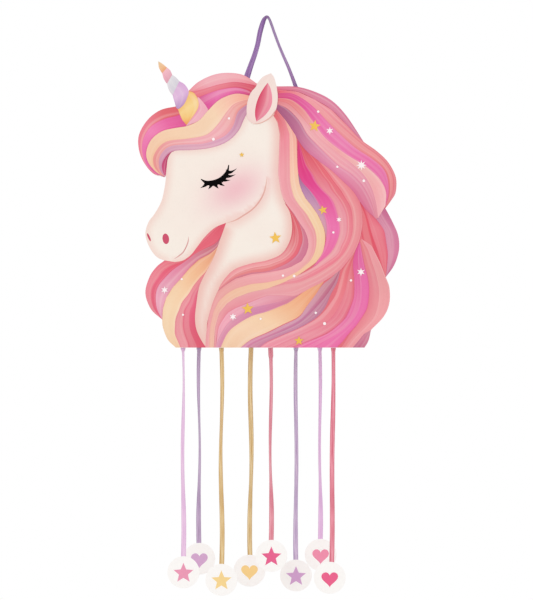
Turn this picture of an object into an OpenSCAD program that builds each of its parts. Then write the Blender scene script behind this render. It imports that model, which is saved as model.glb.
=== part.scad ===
// Pull-ribbon party box: two die-cut unicorn panels joined by a card wall, hung from a ribbon loop.
// +Z is up, the printed front faces -Y, and the origin is the top of the hanging loop.

/* [Box] */
// Depth of the box over both card panels
box_depth = 85; // [75:1:110]
// Thickness of the front and back card panels
panel_t = 2; // [1.5:0.5:3]
// Thickness of the folded card walls and of the floor
wall_t = 1.5; // [1:0.25:2]
// Thickness of the printed paper glued on each panel
print_t = 0.3; // [0.2:0.1:0.4]
// Depth of the glue tabs folded in along both edges of each wall
tab_depth = 8; // [5:1:9]
// Thickness of the glue tabs
tab_t = 0.6; // [0.4:0.1:0.8]

/* [Trapdoor] */
// Length of the trapdoor along the floor
door_length = 100; // [80:1:104]
// Width of the trapdoor across the floor
door_width = 54; // [44:1:54]
// Die-cut gap round the trapdoor and the filling flap
cut_gap = 0.3; // [0.3:0.1:0.6]
// Distance of the pull ribbon from the free edge of the trapdoor
pull_inset = 9; // [7:1:12]

/* [Filling flap] */
// Width of the filling flap in the back panel
flap_width = 120; // [90:1:130]
// Height of the filling flap
flap_height = 80; // [60:1:90]
// Radius of the finger notch in the free edge of the flap
notch_r = 10; // [7:1:14]

/* [Ribbons and tags] */
// Width of the pull ribbons
ribbon_w = 6; // [5:0.5:7]
// Thickness of every ribbon
ribbon_t = 0.5; // [0.4:0.1:0.6]
// Distance of the two ribbon rows in front of and behind the middle of the floor
row_y = 34; // [32:0.5:35]
// Radius of the round tags
tag_r = 20; // [16:0.5:20]
// Thickness of one of the two discs glued together as a tag
disc_t = 0.6; // [0.5:0.1:0.8]
// Length of ribbon glued in between the discs
tag_grip = 12; // [8:1:16]

/* [Hanging loop] */
// Width of the hanging ribbon
loop_w = 8; // [6:0.5:8]
// Width of the reinforcing pads inside the top walls
pad_w = 26; // [20:1:30]

/* [Hidden] */
$fn = 48;

card = "#f6efe9";
inner_card = "#e4ddd2";
print_white = "#fbf7f3";
loop_purple = "#9b72c0";

// Height of the box's underside, and the two ends of its straight foot
foot_z = -417;
foot_left = -114;
foot_right = 122;

// Each wall is one strip of card bent along one or more curves. A curve runs through its points
// [x, z] and stops at a sharp corner. The strips go round the outline clockwise, seen from the front.
curve_steps = 5;
strips = [
    // foot, left
    [[[foot_left, foot_z], [-124, -407], [-130, -392], [-131, -382]]],
    // left lobe of the mane, under the chin
    [[[-131, -382], [-145, -369], [-152, -349], [-147, -329], [-138, -316], [-128, -308]]],
    // muzzle and forehead
    [[[-128, -308], [-136, -305], [-143, -298], [-149, -287], [-152, -274], [-148, -260], [-140, -249],
      [-132, -234], [-128, -217], [-126, -202]]],
    // forelock
    [[[-126, -202], [-141, -200], [-153, -187], [-160, -170], [-160, -151], [-149, -132],
      [-133, -120], [-114, -115.5]]],
    // horn, four swellings up to the tip and four down
    [[[-114, -115.5], [-116, -108], [-118, -101]], [[-118, -101], [-123, -94], [-125, -87]],
     [[-125, -87], [-129, -81], [-131, -74]], [[-131, -74], [-135, -67], [-136, -59]],
     [[-136, -59], [-131, -62], [-125, -67]], [[-125, -67], [-121, -70.5], [-118.5, -76]],
     [[-118.5, -76], [-114, -79], [-109.5, -84]], [[-109.5, -84], [-103, -88], [-98, -96]]],
    // crown, from the horn to the ear
    [[[-98, -96], [-86, -85], [-67, -76], [-48, -73.5], [-29, -76.5], [-12.5, -87]]],
    // ear
    [[[-12.5, -87], [-5, -78.5], [5, -74]], [[5, -74], [9, -79.5], [12, -90.5]]],
    // nape, behind the ear
    [[[12, -90.5], [38, -91], [62, -98], [82, -109], [100, -128], [121, -160]]],
    // three lobes of the mane down the back
    [[[121, -160], [138, -172], [152, -186], [161, -204], [161, -222], [156, -232], [148, -243]]],
    [[[148, -243], [157, -260], [164, -277], [165, -295], [159, -314], [148.5, -329]]],
    [[[148.5, -329], [153, -342], [153, -361], [146, -378], [130, -395]]],
    // foot, right
    [[[130, -395], [127, -408], [foot_right, foot_z]]],
    // floor, straight
    [[[foot_right, foot_z], [foot_left, foot_z]]]
];
floor_strip = 12;
// The strips too narrow for glue tabs are held by their neighbours
tabbed = [true, true, true, true, false, true, false, true, true, true, true, true, true];

inner_y = box_depth / 2 - panel_t;
outer_y = box_depth / 2;
print_y = outer_y + print_t;

// A smooth curve through the points k, without its last point
function curve(k, n) = [
    for (i = [0 : len(k) - 2], s = [0 : n - 1])
        let (a = i == 0 ? 2 * k[0] - k[1] : k[i - 1], b = k[i], c = k[i + 1],
             d = i == len(k) - 2 ? 2 * k[i + 1] - k[i] : k[i + 2], t = s / n)
        (2 * b + (c - a) * t + (2 * a - 5 * b + 4 * c - d) * t * t + (3 * b - a - 3 * c + d) * t * t * t) / 2
];
function strip_points(i) = [for (run = strips[i]) each curve(run, len(run) == 2 ? 1 : curve_steps)];
outline = [for (i = [0 : len(strips) - 1]) each strip_points(i)];
count = len(outline);
// Index of a strip's first point in the outline
function first_of(i) = i == 0 ? 0 : first_of(i - 1) + len(strip_points(i - 1));
function at(i) = outline[(i + count) % count];
// Inward normal of the segment that starts at point i, and the mitred step into the box at point i
function unit(v) = v / norm(v);
function normal_at(i) = let (d = unit(at(i + 1) - at(i))) [d[1], -d[0]];
function miter(i) = let (a = normal_at(i - 1), b = normal_at(i)) (a + b) / (1 + a * b);
function inset(i, depth) = at(i) + depth * miter(i);

// Places [x, z] where the hanging ribbon goes through the top walls, and the strips they are on
loop_left = [-25, -79];
loop_right = [36, -91];
crown_strip = 5;
nape_strip = 7;
pad_t = 1;
loop_knot_r = 4;

// Each pull ribbon: x at the floor, row (-1 front, 0 trapdoor, 1 back), tag centre [x, z],
// sideways wave, colour
door_x = 4;
pull_y = -door_width / 2 + pull_inset;
ribbons = [
    [-105, -1, [-104.5, -698], 0.8, "#efb9dc"],
    [-85.5, 1, [-85, -683], -0.8, "#b58fcf"],
    [-57, -1, [-57, -707.5], 1, "#dcb75c"],
    [-20, 1, [-22, -698], -1, "#d2a852"],
    [4.5, 0, [5.5, -678], 0.8, "#e9719f"],
    [36.5, 1, [36.5, -704], -0.6, "#cba4d8"],
    [66.5, 1, [67.5, -678], 0.6, "#d8b6dc"],
    [82, -1, [78.5, -705], 0.8, "#e8578d"]
];
decoys = [0, 1, 2, 3, 5, 6, 7];
puller = 4;
ribbon_rings = 8;
hang_gap = 0.3;
knot_r = 3;
// Height of a knot's middle above what it rests on, in its own radii
knot_lift = 1.16;
function ribbon_y(i) = ribbons[i][1] == 0 ? pull_y : ribbons[i][1] * row_y;
// Route of a pull ribbon, from just under the floor to its end between the discs of the tag
function ribbon_route(i) = let (r = ribbons[i], top = foot_z - hang_gap, end = r[2][1] + tag_r - tag_grip)
    [for (k = [0 : ribbon_rings - 1]) let (s = k / (ribbon_rings - 1))
        [r[0] + (r[2][0] - r[0]) * s + r[3] * sin(540 * s), ribbon_y(i), top + (end - top) * s, 0]];

// Route of the hanging ribbon: [x, y, z, turn of its flat face]
loop_route = [
    [-27, 0, -85, 0], [-25, 0, -79, 0], [-20, 0, -63, 10], [-14, 0, -44, 30], [-8, 0, -25, 60],
    [-3.5, 0, -10, 80], [-1.5, 0, -3, 90], [0, 0, -0.5, 90], [2, 0, -3, 90], [5, 0, -10.5, 85],
    [12, 0, -28, 75], [22, 0, -54, 65], [31, 0, -78, 50], [36, 0, -91, 0], [38, 0, -97, 0]
];

// Sweep of a flat eight-sided ribbon along a route: a ring for each point, one closed solid
function section(w, t) = [for (p = [[-1, -0.5], [-0.8, -1], [0.8, -1], [1, -0.5],
                                    [1, 0.5], [0.8, 1], [-0.8, 1], [-1, 0.5]])
    [p[0] * w / 2, p[1] * t / 2]];
function ring(route, i, w, t) =
    let (n = len(route), p = route[i], a = route[max(i - 1, 0)], b = route[min(i + 1, n - 1)],
         d = unit([b[0] - a[0], 0, b[2] - a[2]]), flat = [d[2], 0, -d[0]], side = [0, 1, 0],
         across = flat * cos(p[3]) + side * sin(p[3]), through = side * cos(p[3]) - flat * sin(p[3]))
    [for (q = section(w, t)) [p[0], p[1], p[2]] + q[0] * across + q[1] * through];
module ribbon(route, w, t) {
    n = len(route);
    points = [for (i = [0 : n - 1]) each ring(route, i, w, t)];
    sides = [for (i = [0 : n - 2], j = [0 : 7])
        let (a = 8 * i + j, b = 8 * i + (j + 1) % 8) each [[a, b, b + 8], [a, b + 8, a + 8]]];
    last = 8 * (n - 1);
    caps = [for (j = [1 : 6]) each [[0, j + 1, j], [last, last + j, last + j + 1]]];
    polyhedron(points, concat(sides, caps), 4);
}

// A flat shape drawn in x and z, given a thickness from y0 to y1
module upright(y0, y1) {
    translate([0, y1, 0]) rotate([90, 0, 0]) linear_extrude(y1 - y0) children();
}
module silhouette() {
    polygon(outline);
}
// In a narrow tip the inset point of one side would cross the other side's, so it is left out
function clear(i, depth) = min([for (p = outline) norm(p - inset(i, depth))]) > 0.95 * depth;
// Part of the band between two depths inside the outline, from point i0 to point i1
module band(i0, i1, depth0, depth1) {
    polygon(concat([for (i = [i0 : i1]) inset(i, depth0)],
                   [for (i = [i1 : -1 : i0]) if (clear(i, depth1)) inset(i, depth1)]));
}
// A row of glue tabs: the band's inner edge steps back between the tabs
module tabs(i0, i1) {
    function tooth(i) = (i - i0) % 4 == 0 || i == i1 ? wall_t + 1 : tab_depth;
    polygon(concat([for (i = [i0 : i1]) at(i)], [for (i = [i1 : -1 : i0]) inset(i, tooth(i))]));
}
module strip(i) {
    i0 = first_of(i);
    i1 = i0 + len(strip_points(i));
    upright(-inner_y, inner_y) band(i0, i1, 0, wall_t);
    if (tabbed[i]) {
        upright(-inner_y, -inner_y + tab_t) tabs(i0, i1);
        upright(inner_y - tab_t, inner_y) tabs(i0, i1);
    }
}
// The floor's long tabs have slanted ends instead of teeth
module floor_tabs() {
    polygon([[foot_left, foot_z], [foot_right, foot_z],
             [foot_right - tab_depth, foot_z + tab_depth], [foot_left + tab_depth, foot_z + tab_depth]]);
}

flap_x = 30;
flap_top = -235;
// The filling flap's outline, grown by g, and the finger notch in its lower edge
module flap_shape(g) {
    translate([flap_x - flap_width / 2 - g, flap_top - flap_height - g])
        square([flap_width + 2 * g, flap_height + 2 * g]);
}
module flap_notch() {
    translate([flap_x, flap_top - flap_height]) circle(notch_r);
}
module back_sheet() {
    difference() {
        silhouette();
        flap_shape(cut_gap);
    }
}
module flap_sheet() {
    difference() {
        flap_shape(0);
        flap_notch();
    }
}

module front_panel() {
    color(card) upright(-outer_y, -inner_y) silhouette();
}
module back_panel() {
    color(card) upright(inner_y, outer_y) back_sheet();
}
module front_print() {
    color(print_white) upright(-print_y, -outer_y) silhouette();
}
module back_print() {
    color(print_white) upright(outer_y, print_y) back_sheet();
}
module fill_flap() {
    color(card) upright(inner_y, outer_y) flap_sheet();
}
module fill_flap_print() {
    color(print_white) upright(outer_y, print_y) flap_sheet();
}
module wall(i) {
    color(card) strip(i);
}
module loop_slot(place) {
    translate([place[0] - loop_w / 2 - 1, -1.5 * ribbon_t, place[1] - 8]) cube([loop_w + 2, 3 * ribbon_t, 16]);
}
// A wall with the slot that the hanging ribbon goes through
module slotted_wall(i, place) {
    color(card) difference() {
        strip(i);
        loop_slot(place);
    }
}
module floor_panel() {
    color(card) difference() {
        union() {
            upright(-inner_y, inner_y) band(first_of(floor_strip), count, 0, wall_t);
            for (y = [-inner_y, inner_y - tab_t]) upright(y, y + tab_t) floor_tabs();
        }
        translate([door_x - door_length / 2, -door_width / 2, foot_z - 1])
            cube([door_length, door_width, wall_t + 2]);
        for (i = decoys)
            translate([ribbons[i][0] - ribbon_w / 2 - 0.5, ribbon_y(i) - ribbon_t, foot_z - 1])
                cube([ribbon_w + 1, 2 * ribbon_t, wall_t + 2]);
    }
}
// The trapdoor is cut from the floor and bends down on the crease along its back edge
module trapdoor() {
    color(card) difference() {
        translate([door_x - door_length / 2 + cut_gap, -door_width / 2 + cut_gap, foot_z])
            cube([door_length - 2 * cut_gap, door_width - 2 * cut_gap, wall_t]);
        translate([ribbons[puller][0] - ribbon_w / 2 - 0.5, pull_y - ribbon_t, foot_z - 1])
            cube([ribbon_w + 1, 2 * ribbon_t, wall_t + 2]);
    }
}
patch_size = [30, 16];
module pull_patch() {
    color(inner_card) difference() {
        translate([ribbons[puller][0] - patch_size[0] / 2, pull_y - pull_inset + 1, foot_z + wall_t])
            cube([patch_size[0], patch_size[1], pad_t]);
        translate([ribbons[puller][0] - ribbon_w / 2 - 0.5, pull_y - ribbon_t, foot_z])
            cube([ribbon_w + 1, 2 * ribbon_t, wall_t + 2]);
    }
}
// An overhand knot drawn small, with the flat ribbon that leaves it downwards
module knot(r, w, drop) {
    sphere(r);
    rotate([60, 0, 30]) rotate_extrude() translate([r * 0.75, 0]) circle(r * 0.5);
    translate([-w / 2, -ribbon_t / 2, -knot_lift * r - drop]) cube([w, ribbon_t, knot_lift * r + drop]);
}
module pull_knot() {
    color(ribbons[puller][4])
        translate([ribbons[puller][0], pull_y, foot_z + wall_t + pad_t + knot_lift * knot_r])
            knot(knot_r, ribbon_w, wall_t + pad_t);
}
module decoy_knots() {
    color(ribbons[0][4]) for (i = decoys)
        translate([ribbons[i][0], ribbon_y(i), foot_z + wall_t + knot_lift * knot_r])
            knot(knot_r, ribbon_w, wall_t);
}
module hanging_ribbon() {
    color(loop_purple) ribbon(loop_route, loop_w, ribbon_t);
}
// Index of the outline point nearest to x on a strip
function nearest(strip, x) = let (i0 = first_of(strip), n = len(strip_points(strip)))
    [for (i = [i0 : i0 + n - 1]) if (at(i)[0] <= x && at(i + 1)[0] > x) i][0];
module loop_pad(strip, place) {
    i = nearest(strip, place[0]);
    difference() {
        upright(-pad_w / 2, pad_w / 2) band(i - 2, i + 3, wall_t, wall_t + pad_t);
        loop_slot(place);
    }
}
module loop_pads() {
    color(inner_card) {
        loop_pad(crown_strip, loop_left);
        loop_pad(nape_strip, loop_right);
    }
}
module loop_knots() {
    color(loop_purple) for (k = [loop_route[0], loop_route[len(loop_route) - 1]])
        translate([k[0], k[1], k[2] - loop_knot_r]) knot(loop_knot_r, 1, 0);
}
module pull_ribbon(i) {
    color(ribbons[i][4]) ribbon(ribbon_route(i), ribbon_w, ribbon_t);
}
// One disc of a tag, with a shallow channel on its inner face for the ribbon's end
module disc(i, side) {
    place = ribbons[i][2];
    y = ribbon_y(i);
    y0 = side < 0 ? y - disc_t : y;
    difference() {
        translate([place[0], 0, place[1]]) upright(y0, y0 + disc_t) circle(tag_r, $fn = 96);
        translate([place[0] - ribbon_w / 2 - 0.5, y - ribbon_t / 2, place[1] + tag_r - tag_grip - 0.5])
            cube([ribbon_w + 1, ribbon_t, tag_grip + 2]);
    }
}
module tag_front(i) {
    color("white") disc(i, -1);
}
module tag_back(i) {
    color("white") disc(i, 1);
}

front_panel();
back_panel();
front_print();
back_print();
fill_flap();
fill_flap_print();
wall(0);  // wall_foot_left
wall(1);  // wall_mane_left
wall(2);  // wall_face
wall(3);  // wall_forelock
wall(4);  // wall_horn
slotted_wall(crown_strip, loop_left);  // wall_crown
wall(6);  // wall_ear
slotted_wall(nape_strip, loop_right);  // wall_nape
wall(8);  // wall_mane_high
wall(9);  // wall_mane_mid
wall(10);  // wall_mane_low
wall(11);  // wall_foot_right
floor_panel();
trapdoor();
pull_patch();
pull_knot();
decoy_knots();
hanging_ribbon();
loop_pads();
loop_knots();
pull_ribbon(0);  // ribbon_1
pull_ribbon(1);  // ribbon_2
pull_ribbon(2);  // ribbon_3
pull_ribbon(3);  // ribbon_4
pull_ribbon(4);  // ribbon_5
pull_ribbon(5);  // ribbon_6
pull_ribbon(6);  // ribbon_7
pull_ribbon(7);  // ribbon_8
tag_front(0);  // tag_front_1
tag_front(1);  // tag_front_2
tag_front(2);  // tag_front_3
tag_front(3);  // tag_front_4
tag_front(4);  // tag_front_5
tag_front(5);  // tag_front_6
tag_front(6);  // tag_front_7
tag_front(7);  // tag_front_8
tag_back(0);  // tag_back_1
tag_back(1);  // tag_back_2
tag_back(2);  // tag_back_3
tag_back(3);  // tag_back_4
tag_back(4);  // tag_back_5
tag_back(5);  // tag_back_6
tag_back(6);  // tag_back_7
tag_back(7);  // tag_back_8
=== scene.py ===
import math

import bmesh
import bpy
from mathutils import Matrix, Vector


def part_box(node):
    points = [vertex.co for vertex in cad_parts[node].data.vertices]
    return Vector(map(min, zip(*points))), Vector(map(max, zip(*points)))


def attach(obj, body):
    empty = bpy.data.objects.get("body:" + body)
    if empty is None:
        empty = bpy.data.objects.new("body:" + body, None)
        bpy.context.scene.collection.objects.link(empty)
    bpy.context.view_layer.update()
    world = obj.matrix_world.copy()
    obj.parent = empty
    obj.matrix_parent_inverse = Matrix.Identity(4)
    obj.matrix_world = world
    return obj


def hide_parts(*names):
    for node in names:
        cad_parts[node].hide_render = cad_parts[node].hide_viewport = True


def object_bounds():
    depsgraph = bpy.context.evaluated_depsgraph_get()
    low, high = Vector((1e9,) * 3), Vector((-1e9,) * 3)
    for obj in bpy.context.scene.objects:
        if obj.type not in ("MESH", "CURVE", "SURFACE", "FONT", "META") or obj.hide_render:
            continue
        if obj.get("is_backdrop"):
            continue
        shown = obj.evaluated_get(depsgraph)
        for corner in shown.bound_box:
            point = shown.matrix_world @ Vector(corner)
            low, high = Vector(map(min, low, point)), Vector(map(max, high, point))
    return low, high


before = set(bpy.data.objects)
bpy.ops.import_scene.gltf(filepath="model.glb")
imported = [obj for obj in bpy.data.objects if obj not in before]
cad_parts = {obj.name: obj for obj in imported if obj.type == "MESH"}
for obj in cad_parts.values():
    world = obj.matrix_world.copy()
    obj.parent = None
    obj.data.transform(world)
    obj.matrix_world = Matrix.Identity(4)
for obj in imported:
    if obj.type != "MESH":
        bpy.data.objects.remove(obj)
cad_low, cad_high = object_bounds()

# ---- Camera, light and floor ------------------------------------------------------------------
# A long lens looks straight at the printed front, a plain pale floor lies below the tags, and the
# light comes evenly from all round with one large soft panel in front.
MM = 0.001
front_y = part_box("front_print")[0].y
view_centre = Vector((-0.6, 0, -357.5)) * MM
view_height = 0.750
view_distance = 12.0
floor_drop = 0.06
floor_half = 1.6
sensor_width = 36
room_light = 0.88

long_lens = bpy.data.cameras.new("long_lens")
long_lens.sensor_width = sensor_width
long_lens.lens = sensor_width * view_distance / view_height
long_lens.clip_start = 1
long_lens.clip_end = 60
camera = bpy.data.objects.new("camera", long_lens)
camera.location = (view_centre.x, front_y - view_distance, view_centre.z)
camera.rotation_euler = (math.radians(90), 0, 0)
bpy.context.scene.collection.objects.link(camera)
bpy.context.scene.camera = camera
bpy.context.scene.view_settings.view_transform = "Standard"


def tint(colour):
    """Linear red, green, blue and alpha of a colour written as #rrggbb."""
    parts = [int(colour[i : i + 2], 16) / 255 for i in (1, 3, 5)]
    return [p / 12.92 if p <= 0.04045 else ((p + 0.055) / 1.055) ** 2.4 for p in parts] + [1]


def put(tree, kind, inputs=(), **settings):
    """A node of that kind; an input is a number, a colour or another node's output."""
    node = tree.nodes.new(kind)
    for key, value in settings.items():
        setattr(node, key, value)
    for key, value in dict(inputs).items():
        if isinstance(value, bpy.types.NodeSocket):
            tree.links.new(value, node.inputs[key])
        else:
            node.inputs[key].default_value = value
    return node


def soft_panel(name, place, aim, size, power):
    """A square lamp of that size in metres and power in watts, turned towards its aim."""
    lamp = bpy.data.lights.new(name, "AREA")
    lamp.size = size
    lamp.energy = power
    panel = bpy.data.objects.new(name, lamp)
    panel.location = place
    panel.rotation_euler = (Vector(aim) - Vector(place)).to_track_quat("-Z", "Y").to_euler()
    bpy.context.scene.collection.objects.link(panel)


soft_panel("front_light", (-1.2, -2.6, 0.8), (0, 0, -0.35), 1.8, 11)
soft_panel("side_light", (2.2, -1.2, 0.2), (0, 0, -0.35), 1.2, 3)

room = bpy.data.worlds.new("pale_room")
bpy.context.scene.world = room
room.use_nodes = True
tree = room.node_tree
tree.nodes.clear()
glow = put(tree, "ShaderNodeBackground", {"Color": tint("#fffdfb"), "Strength": room_light})
paper_white = put(tree, "ShaderNodeBackground", {"Color": (1, 1, 1, 1), "Strength": 1.0})
seen = put(tree, "ShaderNodeLightPath")
sky = put(tree, "ShaderNodeMixShader",
          {0: seen.outputs["Is Camera Ray"], 1: glow.outputs[0], 2: paper_white.outputs[0]})
put(tree, "ShaderNodeOutputWorld", {"Surface": sky.outputs[0]})


def new_finish(name, roughness, specular=0.5, sheen=0.0):
    """A material, its node tree and its shader."""
    finish = bpy.data.materials.new(name)
    finish.use_nodes = True
    shader = finish.node_tree.nodes["Principled BSDF"]
    shader.inputs["Roughness"].default_value = roughness
    shader.inputs["Specular IOR Level"].default_value = specular
    shader.inputs["Sheen Weight"].default_value = sheen
    return finish, finish.node_tree, shader


def new_object(name, bm, finishes):
    """A mesh object at the origin, made from a bmesh and its materials."""
    mesh = bpy.data.meshes.new(name)
    bm.to_mesh(mesh)
    bm.free()
    for finish in finishes:
        mesh.materials.append(finish)
    obj = bpy.data.objects.new(name, mesh)
    bpy.context.scene.collection.objects.link(obj)
    return obj


floor_finish, tree, shader = new_finish("pale_floor", 0.8, 0.2)
shader.inputs["Base Color"].default_value = tint("#f4f1ee")
bm = bmesh.new()
bmesh.ops.create_grid(bm, x_segments=1, y_segments=1, size=floor_half)
bmesh.ops.translate(bm, vec=(0, 0, cad_low.z - floor_drop), verts=bm.verts)
floor = new_object("floor", bm, [floor_finish])
floor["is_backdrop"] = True

# ---- Hanging ribbon ---------------------------------------------------------------------------
# An 8 mm satin ribbon goes up through a slot in the crown, over the hook, and down through a slot
# in the nape, with a knot inside each. It carries the whole box, so it is taut.
loop_width = 8 * MM
loop_cup = 0.3 * MM
ribbon_thick = 0.35 * MM
# Radians of the weave's fine ribs for each metre of ribbon
rib_radians = 16000.0
loop_colour = "#ab86c4"
# x, y, z in millimetres and the turn of the flat face in degrees, from knot to knot
loop_route = [
    (-27, 0, -85, 0), (-25.5, 0, -79, 14), (-20.5, 0, -64, 34), (-15.5, 0, -50, 42),
    (-11.6, 0, -36.5, 44), (-9, 0, -23, 42), (-6.1, 0, -12.5, 44), (-3.4, 0, -5.5, 54),
    (0, 0, -2.2, 68), (3, 0, -5.4, 70), (5.8, 0, -12.5, 68), (9.3, 0, -22.5, 68),
    (14.4, 0, -36.4, 67), (20, 0, -50.1, 66), (26.2, 0, -64, 64), (31.7, 0, -78, 60),
    (36, 0, -90, 52), (38, 0, -97, 30),
]


def curve(knots, steps):
    """Points of a smooth curve through the knots, which are tuples of any length."""
    ends = [tuple(2 * a - b for a, b in zip(knots[0], knots[1]))]
    tail = [tuple(2 * a - b for a, b in zip(knots[-1], knots[-2]))]
    k = ends + list(knots) + tail
    points = []
    for i in range(1, len(k) - 2):
        for s in range(steps):
            t = s / steps
            points.append(tuple(
                (2 * b + (c - a) * t + (2 * a - 5 * b + 4 * c - d) * t * t
                 + (3 * b - a - 3 * c + d) * t * t * t) / 2
                for a, b, c, d in zip(k[i - 1], k[i], k[i + 1], k[i + 2])))
    return points + [tuple(knots[-1])]


def new_group(name, inputs):
    """An effect that gives a colour and a height, with its own named inputs, and its entry node."""
    group = bpy.data.node_groups.new(name, "ShaderNodeTree")
    for socket, kind in inputs.items():
        group.interface.new_socket(socket, in_out="INPUT", socket_type=kind)
    group.interface.new_socket("Colour", in_out="OUTPUT", socket_type="NodeSocketColor")
    group.interface.new_socket("Height", in_out="OUTPUT", socket_type="NodeSocketFloat")
    return group, put(group, "NodeGroupInput").outputs


def reckon(tree, operation, *values, clamp=False):
    """One step of arithmetic on numbers or other nodes' outputs."""
    return put(tree, "ShaderNodeMath", dict(enumerate(values)), operation=operation,
               use_clamp=clamp).outputs[0]


def stretched(tree, place, scale):
    """A place scaled by three numbers."""
    return put(tree, "ShaderNodeVectorMath", {0: place, 1: scale}, operation="MULTIPLY").outputs[0]


def noise(tree, place, scale, detail, roughness=0.5):
    """Cloudy values round a half."""
    return put(tree, "ShaderNodeTexNoise", {"Vector": place, "Scale": scale, "Detail": detail,
                                            "Roughness": roughness}).outputs["Fac"]


def ranged(tree, value, source, target=(0.0, 1.0), **settings):
    """A value taken from one range to another and held inside it."""
    return put(tree, "ShaderNodeMapRange", {"Value": value, "From Min": source[0],
                                            "From Max": source[1], "To Min": target[0],
                                            "To Max": target[1]}, **settings).outputs[0]


def blend(tree, amount, one, other):
    """One colour passing into another."""
    return put(tree, "ShaderNodeMix", {0: amount, 6: one, 7: other}, data_type="RGBA").outputs[2]


def join_effect(tree, shader, effect, strength, distance):
    """Joins an effect's colour and height to the shader."""
    bump = put(tree, "ShaderNodeBump", {"Height": effect.outputs["Height"], "Strength": strength,
                                        "Distance": distance})
    tree.links.new(effect.outputs["Colour"], shader.inputs["Base Color"])
    tree.links.new(bump.outputs[0], shader.inputs["Normal"])


def make_weave_and_shade():
    """Fine woven satin: long floats across, a denser selvage at each edge, painted sheen and shade."""
    group, entry = new_group("satin_weave_and_shade", {"Colour": "NodeSocketColor",
                                             "Shadow Colour": "NodeSocketColor"})
    uv = put(group, "ShaderNodeUVMap", uv_map="strip")
    parts = put(group, "ShaderNodeSeparateXYZ", {0: uv.outputs[0]})
    along, across = parts.outputs["X"], parts.outputs["Y"]
    rib = reckon(group, "SINE", reckon(group, "MULTIPLY", along, rib_radians))
    side = reckon(group, "ABSOLUTE", reckon(group, "SUBTRACT", across, 0.5))
    selvage = ranged(group, side, (0.40, 0.47), interpolation_type="SMOOTHSTEP")
    threads = put(group, "ShaderNodeCombineXYZ", {0: along, 1: across}).outputs[0]
    # Slow patches along the ribbon pass into the shadow colour: painted sheen and shade of its twist.
    painted_sheen_and_shade = noise(group, stretched(group, threads, (9, 1.6, 1)), 2.0, 3.0, 0.6)
    shade = ranged(group, painted_sheen_and_shade, (0.35, 0.65), (0.0, 0.9))
    edge = reckon(group, "MULTIPLY_ADD", selvage, 0.35, shade, clamp=True)
    mixed = blend(group, edge, entry["Colour"], entry["Shadow Colour"])
    raised = reckon(group, "MULTIPLY_ADD", rib, 0.4, selvage)
    put(group, "NodeGroupOutput", {"Colour": mixed, "Height": raised})
    return group


satin_weave_and_shade = make_weave_and_shade()


def satin(name, colour, shadow):
    """Polished satin ribbon of that colour, with painted shade in the shadow colour."""
    finish, tree, shader = new_finish(name, 0.34, 0.6, 0.25)
    shader.inputs["Sheen Roughness"].default_value = 0.4
    weave = put(tree, "ShaderNodeGroup", node_tree=satin_weave_and_shade)
    weave.inputs["Colour"].default_value = tint(colour)
    weave.inputs["Shadow Colour"].default_value = tint(shadow)
    join_effect(tree, shader, weave, 0.25, 0.05 * MM)
    return finish


def strip(name, route, width, cup, finish):
    """A flat ribbon along a route of (x, y, z, turn): a grid bent to it, slightly cupped."""
    count = len(route)
    bm = bmesh.new()
    bmesh.ops.create_grid(bm, x_segments=count - 1, y_segments=6, size=0.5)
    uv = bm.loops.layers.uv.new("strip")
    spot = {v: (v.co.x + 0.5, v.co.y + 0.5) for v in bm.verts}
    places = [Vector(p[:3]) * MM for p in route]
    travelled = [0.0]
    for a, b in zip(places, places[1:]):
        travelled.append(travelled[-1] + (b - a).length)
    for v, (u, w) in spot.items():
        i = round(u * (count - 1))
        heading = (places[min(i + 1, count - 1)] - places[max(i - 1, 0)]).normalized()
        flat = Vector((heading.z, 0, -heading.x)).normalized()
        through = heading.cross(flat)
        turn = math.radians(route[i][3])
        across = flat * math.cos(turn) + through * math.sin(turn)
        out = through * math.cos(turn) - flat * math.sin(turn)
        v.co = places[i] + across * (w - 0.5) * width + out * cup * (1 - (2 * w - 1) ** 2)
    for face in bm.faces:
        face.smooth = True
        for loop in face.loops:
            u, w = spot[loop.vert]
            loop[uv].uv = (travelled[round(u * (count - 1))], w)
    ribbon = new_object(name, bm, [finish])
    wall = ribbon.modifiers.new("thickness", "SOLIDIFY")
    wall.thickness = ribbon_thick
    wall.offset = 0
    return ribbon


loop_path = curve(loop_route, 4)
loop_points = [tuple(c * MM for c in p[:3]) for p in loop_path[::2]]
# The loop's painted shade is a darker purple.
loop_satin = satin("loop_satin", loop_colour, "#774a8f")
hanging_loop = strip("hanging_loop", loop_path, loop_width, loop_cup, loop_satin)
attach(hanging_loop, "box")
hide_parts("hanging_ribbon")

# ---- Round tags -------------------------------------------------------------------------------
# Each tag is two 40 mm discs of white card glued together over the end of its ribbon. The discs
# are die-cut, so their edges are slightly rounded, and a star or a heart is printed on both faces.
tag_radius = 20 * MM
tag_thick = 1.2 * MM
tag_round = 0.2 * MM
print_lift = 0.05 * MM
# Size of each motif, how far below the middle of the tag it is printed, and the share of a star's
# size at its waist
star_size, star_drop = 13.3 * MM, 1.2 * MM
star_waist = 0.44
heart_size, heart_drop = 21 * MM, 2.6 * MM
tag_motifs = [
    ("star", "#ee9cbb"), ("heart", "#d9aed8"), ("star", "#fbdc98"), ("heart", "#fcd892"),
    ("star", "#ec6595"), ("star", "#d7a9d8"), ("heart", "#f495b4"), ("heart", "#ef6592"),
]


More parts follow.
